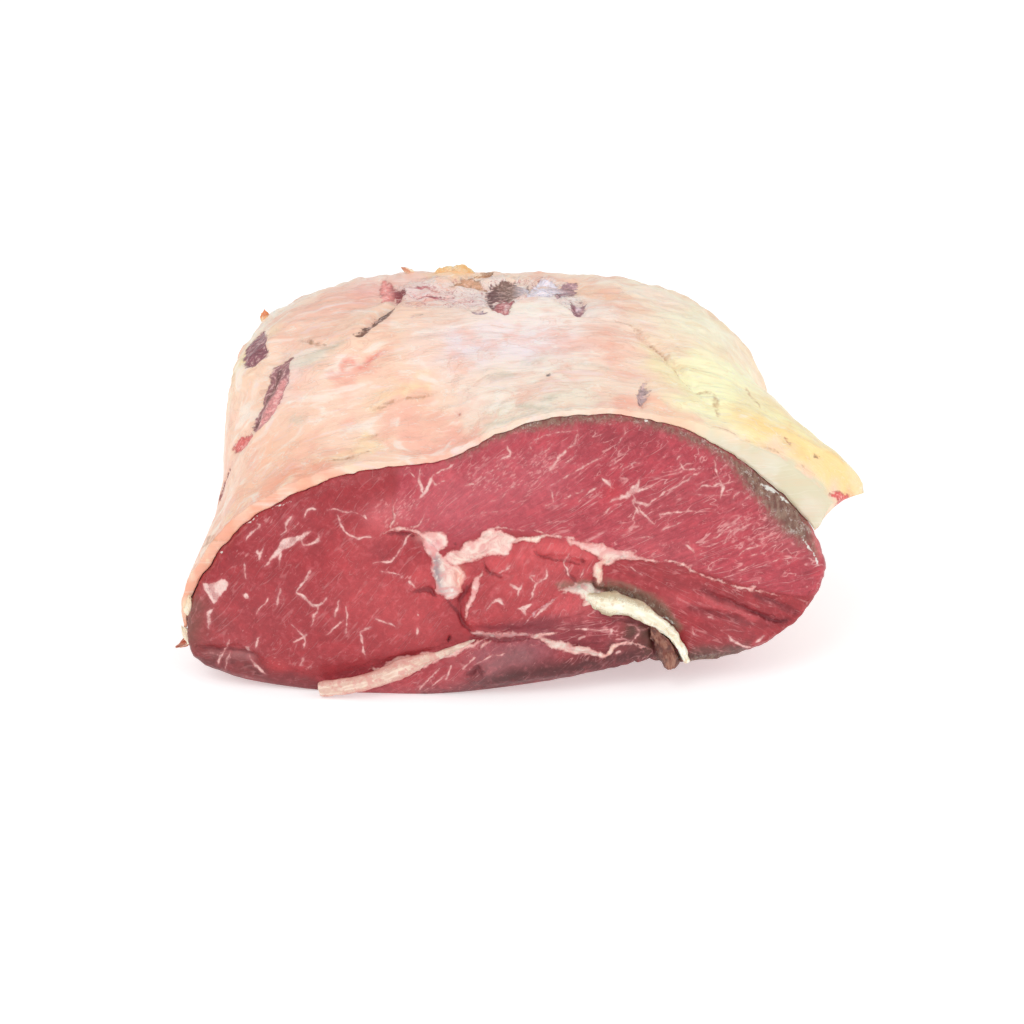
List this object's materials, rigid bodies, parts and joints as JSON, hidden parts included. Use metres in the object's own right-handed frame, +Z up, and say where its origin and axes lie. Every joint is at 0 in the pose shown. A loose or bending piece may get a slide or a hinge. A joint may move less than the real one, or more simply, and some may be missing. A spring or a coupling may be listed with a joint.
{
  "type": "raw beef rump",
  "caption": "Thick raw joint of meat with a fresh oval cut face, white and yellow outer fat, seam fat, a dried tip and a loose strip of sinew; lies flat on its base.",
  "frame": {"origin": "under the middle of the joint's bounding box, on the surface it lies on", "axes": "+X to the right along the cut face, +Y from the cut face into the joint, +Z up; the cut face looks along -Y"},
  "size_m": [0.3176, 0.1972, 0.1586],
  "materials": {
    "lean_meat": "moist cut muscle with pale marbling and a dried dark rim",
    "outer_fat": "soft satin fat, cream to pink, yellow on the right",
    "seam_fat": "soft cream fat",
    "dried_meat": "dull brown dried meat",
    "sinew": "pale moist sinew"
  },
  "bodies": {
    "root": {"lean_meat": "lean_meat", "fat_cap": "outer_fat", "seam_fat": "seam_fat", "dried_tip": "dried_meat", "sinew_strip": "sinew"}
  },
  "joints": []
}
